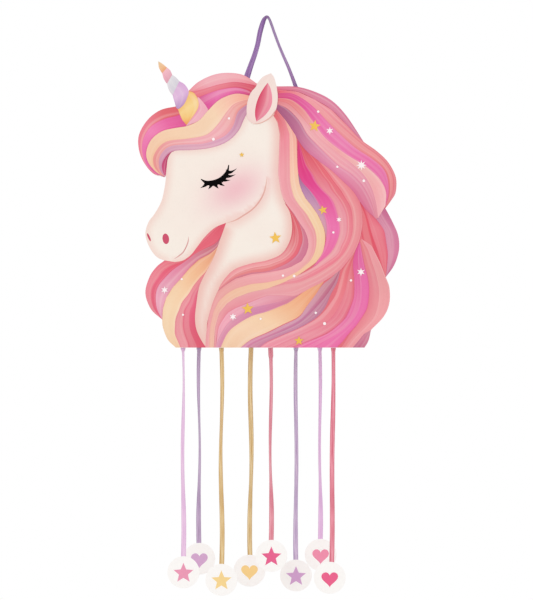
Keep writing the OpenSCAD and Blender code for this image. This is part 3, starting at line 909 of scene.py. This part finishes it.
neck_two = [(14, -119), (22, -132), (28, -150), (28.5, -190), (29, -210), (31, -220), (34, -230),
            (41, -240), (49.5, -250), (55, -260), (60, -270), (62, -280), (61.5, -290), (59, -300),
            (54, -309), (40, -321), (20, -331), (0, -335.5), (-20, -337.5), (-40, -343.5),
            (-50, -349.5), (-60, -358.5), (-67, -372), (-71, -390), (-72, -405), (-72, -417)]
neck_right = [(13, -115), (24, -128), (33, -141), (37, -155), (38, -190), (40, -210), (43, -220),
              (48, -230), (56, -240), (63, -250), (68, -260), (72, -270), (73, -280), (72, -290),
              (69, -300), (61, -311), (40, -326), (20, -336), (0, -343.5), (-20, -347.5),
              (-40, -355), (-50, -362), (-60, -374), (-65, -392), (-66.5, -417)]
lock("neck_hair", 9, under_two, neck_left[6:22],
     ["#cf5d74", "#d58496", "#d6859e", "#de8c9e", "#d98899", "#e08c9a"], (0.2, 0.5), 50)
lock("neck_hair", 10, under_one, under_two,
     ["#dc606b", "#e0707b", "#e97583", "#e8888b", "#e78f91", "#e88d92"], (0.4, 0.3), 50)
lock("neck_hair", 11, throat_line, under_one,
     ["#db5c68", "#dd6670", "#ea989d", "#f1a0a5", "#f1a3a8", "#ec989e"], (0.5, 0.2), 50)
lock("neck_hair", 13, neck_left, neck_two,
     ["#e06a72", "#f09aa6", "#f2a9b2", "#f0a8b0", "#eea3ae", "#f0aeb0", "#f2adb3", "#f0a9b0",
      "#edaba8", "#efa7ac", "#f1adb2"], (0.3, 0.1), 80)
lock("neck_hair", 14, neck_one, neck_two[:16],
     ["#df727a", "#f090a0", "#eea2aa", "#f0a6b0", "#eca4a8", "#eea2a8", "#edaea9"], (0.2, 0.1), 60)
lock("neck_hair", 15, neck_two, neck_right,
     ["#e58a86", "#f4b6a8", "#f8c6ae", "#f6d3b4", "#f5d2aa", "#f4cda8", "#f6c8a8", "#f4caab",
      "#f3c8ad", "#f2bcb0", "#f2c3ae"], (0.3, 0.35), 80)
print_layer("neck_hair", hair_print)

# ---- Locks under the chin ---------------------------------------------------------------------
# The mane shows again below the jaw, to the left of the neck: salmon, red, mauve and peach locks
# that curl back to the foot.
chin_line = [(-104, -309), (-120, -313.5), (-131, -320.5), (-138, -330), (-144, -340), (-146, -350),
             (-145, -360), (-141, -370), (-131, -382)]
red_top = [(-49, -258), (-65, -264), (-78, -276), (-88, -289), (-95, -299)] + chin_line
red_low = [(-50, -259), (-57, -277), (-65, -287), (-78, -293.5), (-90, -300), (-102, -309),
           (-118, -320), (-128, -330), (-136, -340), (-139, -350), (-139, -360), (-137, -370),
           (-131, -382)]
mauve_low = [(-58, -281), (-62, -291), (-72, -300), (-85, -307), (-97, -318), (-107, -330),
             (-118, -342), (-126, -355), (-130, -368), (-131, -382)]
peach_low = [(-60, -290), (-66, -303), (-75, -320), (-84, -330), (-92, -340), (-98, -350),
             (-106, -360), (-110, -370), (-114, -380), (-115, -390), (-115, -400), (-111, -410),
             (-108, -417)]
salmon_low = [(-65, -305), (-86, -340), (-93, -350), (-97, -360), (-103, -370), (-104.5, -380),
              (-105, -390), (-103, -400), (-99, -411), (-98, -417)]
throat_back = [(-64, -300), (-72, -315), (-79, -328), (-83, -342), (-86, -360), (-88, -380),
               (-86, -395), (-80, -408), (-74, -417)]
lock("chin_hair", 1, [(-79, -327)] + salmon_low[1:], [(-78, -326)] + throat_back[3:],
     ["#e06c80", "#e4748a", "#e9718b", "#e66a85", "#e2687e", "#e0657a"], (0.05, 0.4))
lock("chin_hair", 2, peach_low, salmon_low,
     ["#e98a80", "#e98a92", "#ef9aa5", "#eb9da4", "#ee9aa6"], (0.4, 0.2))
foot_rim = rim((-114, -417), (-131, -382))[::-1]
lock("chin_hair", 3, mauve_low + foot_rim[1:], peach_low,
     ["#e4987e", "#eeb08c", "#f5c49c", "#f8d6b2", "#f8dcba", "#f6dab8", "#f5d2b0"], (0.2, 0.3), 60)
lock("chin_hair", 4, red_low[1:], mauve_low,
     ["#c66f84", "#d0808d", "#dd8b9f", "#e896b0", "#eaa8be", "#efb1c5", "#e59db6"], (0.3, 0.3))
lock("chin_hair", 5, red_top, red_low,
     ["#dd586c", "#e66c7e", "#e66c7e", "#e66378", "#eb708a", "#e66f86", "#e46d88"], (0.3, 0.2), 60)
lock("chin_hair", 6, [(-100, -306)] + rim((-131, -382), (-128, -308))[::-1], chin_line,
     ["#e6727e", "#ec8693", "#ef93a1", "#ec929e", "#e6949c"], (0.5, 0.1))
print_layer("chin_hair", hair_print)

# ---- Crown and forelock -----------------------------------------------------------------------
# Over the crown three locks run from the horn back to the ear, and the forelock sweeps from the ear
# under the horn and curls up round the forehead.
crown_rim = rim((-98, -96), (-12.5, -87))
crown_one = [(-92, -97), (-80, -94), (-60, -88), (-40, -85), (-20, -88), (-10, -91)]
crown_two = [(-88, -106), (-80, -102), (-60, -95), (-40, -92), (-25, -95), (-16, -100)]
fringe_line = [(-18, -103), (-36, -99.5), (-50, -102.5), (-62, -109), (-74, -121), (-85, -133),
               (-100, -140), (-115, -142.5), (-130, -146), (-142, -154), (-149, -165),
               (-151, -177), (-147, -188), (-138, -198), (-128.5, -203)]
lock("crown_hair", 1, crown_two, fringe_line[:6][::-1],
     ["#d04585", "#e162a3", "#ea7fb6", "#ea78b0", "#e068a0", "#d34f70"], (0.1, 0.4))
lock("crown_hair", 2, crown_one, crown_two, ["#e9808e", "#eb8997", "#e98391", "#e06c80", "#d95a6c"],
     (0.3, 0.4))
lock("crown_hair", 3, crown_rim, crown_one, ["#ec929e", "#f2b2bc", "#f2b2bc", "#f0a6b0", "#e98692"],
     (0.75, 0.15))
curl_rim = rim((-133, -204), (-114, -115.5))[::-1]
curl_line = [(-104, -124), (-114, -127.5), (-128, -131), (-143, -139), (-152, -150), (-156, -163),
             (-155, -178), (-149, -190.5), (-139, -199.5), (-129, -203)]
lock("crown_hair", 4, curl_line, [(-96, -139)] + fringe_line[6:],
     ["#de5f9a", "#ea6fa9", "#f28cbc", "#ec7cb3", "#e86faa", "#de5f9a"], (0.0, 0.45), 50)
lock("crown_hair", 5, [(-104, -116)] + curl_rim, curl_line[:-1] + [(-132.4, -201.5)],
     ["#df6a74", "#e5767d", "#ee8c9c", "#ee8c9c", "#eb8da3", "#e67a92"], (0.4, 0.2), 50)
peach_line = [(-21, -106), (-40, -112), (-50, -122), (-60, -136), (-70, -147), (-80, -152.5),
              (-100, -156), (-120, -158), (-130, -162), (-137, -169), (-142, -179), (-141, -190),
              (-135, -198.5), (-129, -202.7)]
salmon_fringe = [(-22, -111), (-36, -122), (-42, -139), (-50, -150), (-60, -156), (-80, -162),
                 (-100, -163), (-120, -165), (-130, -172), (-135, -182), (-134, -194),
                 (-130, -201), (-128.5, -202.5)]
lilac_fringe = [(-21, -116), (-29, -132), (-35, -145), (-45, -156), (-58, -163.5), (-75, -168),
                (-95, -170), (-112, -170.5), (-121, -173), (-127, -179), (-131, -187),
                (-131, -194), (-128, -202)]
lock("forelock", 16, [(-117, -171)] + lilac_fringe[8:],
     [(-116, -171.5), (-120, -173.5), (-124, -181), (-125.5, -192), (-126.5, -202)],
     ["#b8416f", "#c04a76", "#cd537f", "#d2608a"], (0.1, 0.6), 20, 6)
lock("forelock", 17, salmon_fringe, lilac_fringe,
     ["#c487a6", "#cf97b2", "#dba6c2", "#e0a8bd", "#dba8bd", "#d79db8", "#d08fac"], (0.1, 0.4), 60)
lock("forelock", 18, peach_line, salmon_fringe,
     ["#e99a8e", "#f0b0ae", "#f2b3bb", "#f2b3bb", "#f0acae", "#eda09c", "#ec9c98"], (0.25, 0.5), 60)
lock("forelock", 19, fringe_line, peach_line,
     ["#f4a896", "#f8c4b0", "#f7d8ba", "#f6d6b8", "#f6d5b6", "#f5d0b2", "#f5ccac", "#f3b9a0"],
     (0.1, 0.3), 60)
print_layer("crown_hair", hair_print)
print_layer("forelock", hair_print)

# ---- Face -------------------------------------------------------------------------------------
# The head and neck are printed in warm cream that turns pink where the hair lies over them, with a
# soft blush on the cheek. One fine line draws the cheekbone and one the mouth.
jaw_line = [(-115, -310), (-105, -308), (-95, -301), (-88, -292), (-78, -279), (-65, -267),
            (-51, -261)]
throat_edge = [(-55, -272), (-59, -283), (-63, -295), (-66, -303), (-72, -315), (-79, -328),
               (-85, -342), (-88, -360), (-90, -380), (-88, -395), (-82, -408), (-76, -417)]
neck_edge = [(-74.5, -417), (-75, -388), (-71, -375), (-67, -363), (-63, -352), (-59, -341),
             (-51, -331), (-40, -321), (-20, -314), (0, -310), (19, -302), (30, -285), (33, -268),
             (31, -249), (24, -235), (18, -220), (15.5, -200), (16, -175), (17, -150), (15, -135),
             (10, -125)]
under_fringe = [(-10, -110), (-22, -116), (-31, -132), (-37, -143), (-47, -154), (-58, -161),
                (-75, -165.5), (-95, -167.5), (-112, -168), (-122, -172.5), (-125, -181),
                (-126, -192), (-126.5, -202)]
muzzle = rim((-128, -308), (-126, -202))[::-1]
cheek_line = [(0, -203), (-1, -212), (-4, -224), (-10, -235), (-18, -244), (-28, -251), (-40, -258),
              (-50, -261)]
cheek_middle = (-39, -219)
cheek_reach = (42, 25)
cheek_lean = math.radians(30)
blush_strength = 0.76
blush_fall = 1.2
# The cheekbone's own shade, its reach, and the circle near the mouth in which it stops
cheekbone_shade, cheekbone_reach = 0.55, 16
mouth_side, mouth_clear = (-50, -200), 50


def distance_to(line, x, z):
    """Distance from a point to a line of points, in millimetres."""
    best = 1e9
    for (ax, az), (bx, bz) in zip(line, line[1:]):
        dx, dz = bx - ax, bz - az
        t = max(0, min(1, ((x - ax) * dx + (z - az) * dz) / max(dx * dx + dz * dz, 1e-9)))
        best = min(best, math.hypot(x - ax - t * dx, z - az - t * dz))
    return best


def fade(distance, reach):
    """1 on a line, falling smoothly to 0 at the reach."""
    t = max(0.0, 1 - distance / reach)
    return t * t * (3 - 2 * t)


face_outline = (evenly(under_fringe, 40)[0] + muzzle[1:] + evenly(jaw_line, 24)[0]
                + evenly(throat_edge, 40)[0] + evenly(neck_edge, 60)[0])
patch("face", 7, face_outline, "#f8f0e8", 4)
bm = picture["face"]
blush = bm.verts.layers.float.new("blush")
hair_rim = bm.verts.layers.float["shade"]
# Lines along which the skin turns pink, with the reach in millimetres and the strength of it
lines = [(evenly(under_fringe, 24)[0], 13, 0.5), (evenly(neck_edge, 30)[0], 18, 0.85),
         (evenly(throat_edge, 24)[0], 20, 0.9), (muzzle[::3], 12, 0.45),
         (evenly(jaw_line, 12)[0], 10, 0.5)]
cheek = evenly(cheek_line, 16)[0]
for v in bm.verts:
    x, z = v.co.x / MM, v.co.z / MM
    v[hair_rim] = max(strength * fade(distance_to(line, x, z), reach)
                      for line, reach, strength in lines)
    if z < -203 and x > -52 and math.dist((x, z), mouth_side) > mouth_clear:
        v[hair_rim] = max(v[hair_rim],
                          cheekbone_shade * fade(distance_to(cheek, x, z), cheekbone_reach))
    dx, dz = x - cheek_middle[0], z - cheek_middle[1]
    along = dx * math.cos(cheek_lean) + dz * math.sin(cheek_lean)
    across = dz * math.cos(cheek_lean) - dx * math.sin(cheek_lean)
    spread = math.hypot(along / cheek_reach[0], across / cheek_reach[1])
    v[blush] = blush_strength * math.exp(-blush_fall * spread * spread)


def stroke(group, level, line, width, inks, shade):
    """A brush stroke of that width along a line, thinner over a fifth of it at each end."""
    steps, taper, rows = 24, 0.2, 2
    points = evenly(line, steps)[0]
    sides = ([], [])
    for i, (x, z) in enumerate(points):
        a, b = points[max(i - 1, 0)], points[min(i + 1, steps)]
        run = math.dist(a, b)
        nx, nz = -(b[1] - a[1]) / run, (b[0] - a[0]) / run
        half = width / 2 * min(1, 0.15 + min(i, steps - i) / steps / taper)
        sides[0].append((x + nx * half, z + nz * half))
        sides[1].append((x - nx * half, z - nz * half))
    lock(group, level, sides[0], sides[1], inks, shade, steps, rows)


stroke("face_lines", 9, cheek_line, 1.7, ["#edcbbf", "#e3aea5", "#e3aea5", "#e9bcb0"], (0.0, 0.2))
stroke("face_lines", 9, [(-98, -278), (-98.5, -284), (-101, -291), (-105, -298), (-111, -303),
                         (-116, -306)], 1.4, ["#e3b5b3", "#d99e9c", "#e3b5b3"], (0.0, 0.2))
# The nostrils, a wide one and a narrow one on the far side of the muzzle: middle, half size, lean
nostril_points = 32
for middle, half, lean in (((-126.5, -281), (4.1, 6.6), 8), ((-147.6, -279), (1.3, 5.4), 24)):
    ring = []
    for i in range(nostril_points):
        t, turned = 2 * math.pi * i / nostril_points, math.radians(lean)
        x, z = half[0] * math.cos(t), half[1] * math.sin(t)
        ring.append((middle[0] + x * math.cos(turned) - z * math.sin(turned),
                     middle[1] + x * math.sin(turned) + z * math.cos(turned)))
    patch("face_lines", 9, ring, "#cf5672")

face_print, tree, shader, ink, deep, dark = printed_finish("face_print")
pink = put(tree, "ShaderNodeAttribute", attribute_name="blush").outputs["Fac"]
wash = noise(tree, put(tree, "ShaderNodeTexCoord").outputs["Object"], 16.0, 2.0)
wash_tone = reckon(tree, "MULTIPLY_ADD", wash, 0.24, -0.09)
edge_tone = reckon(tree, "ADD", dark, wash_tone, clamp=True)
rimmed = blend(tree, edge_tone, ink, tint("#f0c4bc"))
on_paper(tree, shader, blend(tree, pink, rimmed, tint("#efb4c2")), 0.04)
print_layer("face", face_print)

line_print, tree, shader, ink, deep, dark = printed_finish("line_print")
on_paper(tree, shader, blend(tree, dark, ink, deep), 0.1)
print_layer("face_lines", line_print)

# ---- Closed eye -------------------------------------------------------------------------------
# The eye is shut: one thick black arc with seven short lashes that flick out from it. It is printed
# in solid black.
lid_top = [(-82.5, -206), (-76, -208.3), (-68, -207.8), (-60, -204.8), (-54, -199.8), (-50, -194),
           (-48.3, -188.3)]
lid_low = [(-82.8, -206.8), (-77.5, -212), (-70, -215), (-62, -213.8), (-53.5, -208.8),
           (-48.5, -201), (-47.2, -189)]
lash_root = 3.3
lash_bend = 0.45
black = ["#0c0a0b"]
# Root, bend and tip of each lash
lashes = [
    [(-75, -211), (-78.5, -215), (-83.3, -217.5)], [(-70, -212), (-70.8, -216), (-73.5, -219)],
    [(-65, -212), (-63, -215.5), (-60.5, -218.3)], [(-59.5, -209.5), (-57, -213), (-52.5, -215)],
    [(-55.5, -206), (-51.5, -208), (-45.5, -207.6)], [(-52, -202), (-46, -202.8), (-39, -200.6)],
    [(-50.5, -197.5), (-44.5, -197.4), (-37.3, -193)],
]
lock("lashes", 9, lid_top, lid_low, black, (0, 0), 30, 4)
for root, bend, tip in lashes:
    away = Vector((tip[0] - root[0], tip[1] - root[1])).normalized() * lash_root
    sides = [[(root[0] + sign * -away.y, root[1] + sign * away.x),
              (bend[0] + sign * -away.y * lash_bend, bend[1] + sign * away.x * lash_bend), tip]
             for sign in (1, -1)]
    lock("lashes", 10, sides[0], sides[1], black, (0, 0), 8, 2)
print_layer("lashes", card("black_ink", "#080708", 0.2, 0.5, 0.03))

# ---- Ear --------------------------------------------------------------------------------------
# The ear is cream like the face, with a pink hollow that is deep on the left and light on the right.
ear_left = rim((-12.5, -87), (5, -74))[::-1] + [(-14, -91), (-20, -98), (-24, -108), (-25.5, -118),
                                               (-25, -128), (-22, -134), (-17, -137.5)]
ear_right = rim((5, -74), (12, -90.5)) + [(13.5, -102), (13, -112), (11, -120), (6, -127.5),
                                          (0, -132.5), (-8, -136.5), (-17, -137.5)]
hollow_left = [(1, -86), (-3, -91), (-8, -99), (-12, -108), (-14.5, -118), (-14.8, -127),
               (-13, -134.5)]
hollow_right = [(1, -86), (4, -92), (6, -100), (6.5, -108), (5.5, -114), (2, -121), (-4, -128),
                (-13, -134.5)]
lock("ear", 24, ear_left, ear_right, ["#f3e0dc", "#f4e2dc", "#f6e3dc", "#f5deda", "#f3d9d2"],
     (0.1, 0.32), 50, 12)
lock("ear", 25, hollow_left, hollow_right, ["#e0607c", "#d94c6c", "#d84a6b", "#e2577b"], (0.1, 0.3),
     40, 12, ["#f2a9b8", "#f3a4b4", "#f09db0", "#e88fa4"])
stroke("ear", 25, [(-17, -137.5), (-8, -136.2), (0, -132.2), (6, -127.2), (10.5, -120)], 1.3,
       ["#eccabf", "#e9b9ae", "#e6b0a8"], (0.1, 0.3))
print_layer("ear", hair_print)

# ---- Horn -------------------------------------------------------------------------------------
# The spiral horn has swellings of gold, pink, white and lilac, and stands on a gold one with a pink
# one beside it.
gold_edge = [(-98, -96), (-91, -99), (-86, -108), (-86, -117), (-91, -126), (-96, -133),
             (-100.5, -139)]
lock("horn", 8, [(-98, -96), (-103, -104), (-109, -115), (-112, -118)], gold_edge,
     ["#f9e0a8", "#f8dca0", "#f6d08a", "#f0a862"], (0.1, 0.6), 30)
lock("horn", 9, [(-112, -117), (-109.5, -124), (-106, -132), (-100.5, -139)], gold_edge,
     ["#f4c474", "#f9dc9e", "#f7d088", "#efa060"], (0.4, 0.5), 30)
lock("horn", 7, [(-87, -104), (-86, -116), (-91, -126), (-97, -134), (-101, -139.5)],
     [(-85, -104.5), (-80, -110), (-75.5, -116), (-74, -121.5), (-85, -133), (-101, -140)],
     ["#f3b8c5", "#f0aebf", "#f2b4c4", "#ecb4c4"], (0.45, 0.15), 24)
# Each swelling covers the end of the one below it
lock("horn", 11, [(-118, -101), (-116.5, -107), (-114.5, -113), (-113.5, -117.5)],
     [(-109.5, -84), (-103, -88), (-98, -96), (-99.5, -104), (-103.5, -112.5), (-110, -118.5),
      (-113.5, -117.5)], ["#e0bce0", "#e3c0e3", "#d0acd4", "#b896c6"], (0.45, 0.5), 30)


def horn_part(level, up_end, down_end, inks):
    """The part of the horn from its tip to a slanted line between two corners of its outline."""
    up = rim(up_end, (-136, -59))[::-1]
    lock("horn", level, up, rim((-136, -59), down_end), inks, (0.6, 0.4), 40)


horn_part(12, (-118, -101), (-109.5, -84), ["#efeaec", "#eae6e6", "#e6e5ea", "#dad8e1"])
horn_part(13, (-125, -87), (-118.5, -76), ["#f9d8de", "#f9cad3", "#f3c0cb", "#e6b1bf"])
horn_part(14, (-131, -74), (-125, -67), ["#e5ceaa", "#f0cfa4", "#f2c79c", "#eeb27e"])
print_layer("horn", hair_print)

# ---- Stars ------------------------------------------------------------------------------------
# Gold stars, white sparks and white dots are scattered over the mane, the neck and the brow. They
# are printed last.
gold_size, spark_size, dot_size = 0.88, 0.9, 0.75
# x, z, radius and, for gold stars, lean in degrees
gold_stars = [(10.5, -280, 9, 6), (59.5, -140, 9, -8), (70, -245, 7, 14), (-24, -368.5, 9, 4),
              (40, -408.5, 7, 0), (-31.5, -176, 3.9, 0)]
white_stars = [(-128, -345, 5.5), (-42.5, -378.5, 5.5), (78.5, -146, 5.5), (118, -189, 7.5),
               (117.5, -322.5, 6), (90, -257, 4)]
white_dots = [(64, -122, 2), (-47.5, -130.5, 2), (-67, -156.5, 2.5), (88, -191, 1.9),
              (121, -208.5, 2.3), (83, -273, 1.9), (20, -327, 2), (34, -327.5, 2.3), (105, -333, 2),
              (61, -373.5, 2), (72, -387, 2.6), (-105, -376, 1.8), (-106.5, -331.5, 1.8),
              (-8, -381, 1.9)]
star_level = 27
for x, z, radius, lean in gold_stars:
    turned = math.radians(lean)
    shape = [(x + px * math.cos(turned) - pz * math.sin(turned),
              z + px * math.sin(turned) + pz * math.cos(turned))
             for px, pz in star_outline(radius * gold_size, 0.43)]
    patch("gold_stars", star_level, shape, "#f3c352")
for x, z, radius in white_stars:
    tips = 8 if radius > 7 else 6
    shape = [(x + px, z + pz) for px, pz in star_outline(radius * spark_size, 0.42, tips)]
    patch("white_sparks", star_level, shape, "#fff4f8")
for x, z, radius in white_dots:
    radius = radius * dot_size
    shape = [(x + radius * math.cos(math.pi * i / 8), z + radius * math.sin(math.pi * i / 8))
             for i in range(16)]
    patch("white_sparks", star_level, shape, "#fdeef3")
print_layer("gold_stars", card("gold_ink", "#f2c45a", 0.35, 0.35))
print_layer("white_sparks", card("white_ink", "#fff5f8", 0.05, 0.5))

# ---- Back of the picture ----------------------------------------------------------------------
# The same picture is printed the other way round on the back panel. It is cut through where the
# filling flap, 120 by 80 mm, is cut out of the panel, and round the flap's finger notch.
back_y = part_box("back_print")[1].y
flap_low, flap_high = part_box("fill_flap_print")
flap_gap = 0.3 * MM
crease_half = 0.6 * MM
notch_middle = Vector((30, 0, -315)) * MM
notch_radius = 10 * MM
notch_cuts = 8


def split(bm, faces, place, normal):
    """Cuts those faces along a plane."""
    geom = dict.fromkeys(g for f in faces for g in (f, *f.edges, *f.verts))
    bmesh.ops.bisect_plane(bm, geom=list(geom), plane_co=place, plane_no=normal, dist=1e-7)


def in_flap(place, margin, top):
    """Whether a place is inside of the flap, grown by a margin on three sides and by top above."""
    return (flap_low.x - margin < place.x < flap_high.x + margin
            and flap_low.z - margin < place.z < flap_high.z + top)


def in_notch(place, reach):
    """Whether a place is nearer to the middle of the notch than the reach."""
    return math.hypot(place.x - notch_middle.x, place.z - notch_middle.z) < reach


def part_of(bm, wanted):
    """A copy of a printed layer with only the faces whose middle is wanted."""
    part = bm.copy()
    gone = [f for f in part.faces if not wanted(f.calc_center_median())]
    bmesh.ops.delete(part, geom=gone, context="FACES")
    return part


for group in picture:
    bm = picture[group].copy()
    for v in bm.verts:
        v.co.y = back_y + front_y - v.co.y
    bmesh.ops.reverse_faces(bm, faces=bm.faces[:])
    for margin in (0, flap_gap):
        for corner, side in ((flap_low, -1), (flap_high, 1)):
            place = corner + Vector((side, 0, side)) * margin
            split(bm, bm.faces[:], place, (1, 0, 0))
            split(bm, bm.faces[:], place, (0, 0, 1))
    for height in (flap_high.z - crease_half, flap_high.z + crease_half):
        split(bm, bm.faces[:], (0, 0, height), (0, 0, 1))
    for k in range(notch_cuts):
        angle = math.pi * (k + 0.5) / notch_cuts
        outward = Vector((math.cos(angle), 0, math.sin(angle)))
        near = [f for f in bm.faces if in_notch(f.calc_center_median(), 2 * notch_radius)
                and in_flap(f.calc_center_median(), 0, 0)]
        split(bm, near, notch_middle + notch_radius * outward, outward)
    panel = part_of(bm, lambda place: not in_flap(place, flap_gap, crease_half))
    flap = part_of(bm, lambda place: (in_flap(place, 0, -crease_half)
                                      and not in_notch(place, notch_radius)))
    sheet_piece(f"back_{group}", panel, layer_finish[group], "box")
    if flap.faces:
        sheet_piece(f"flap_{group}", flap, layer_finish[group], "fill_flap")

low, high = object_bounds()
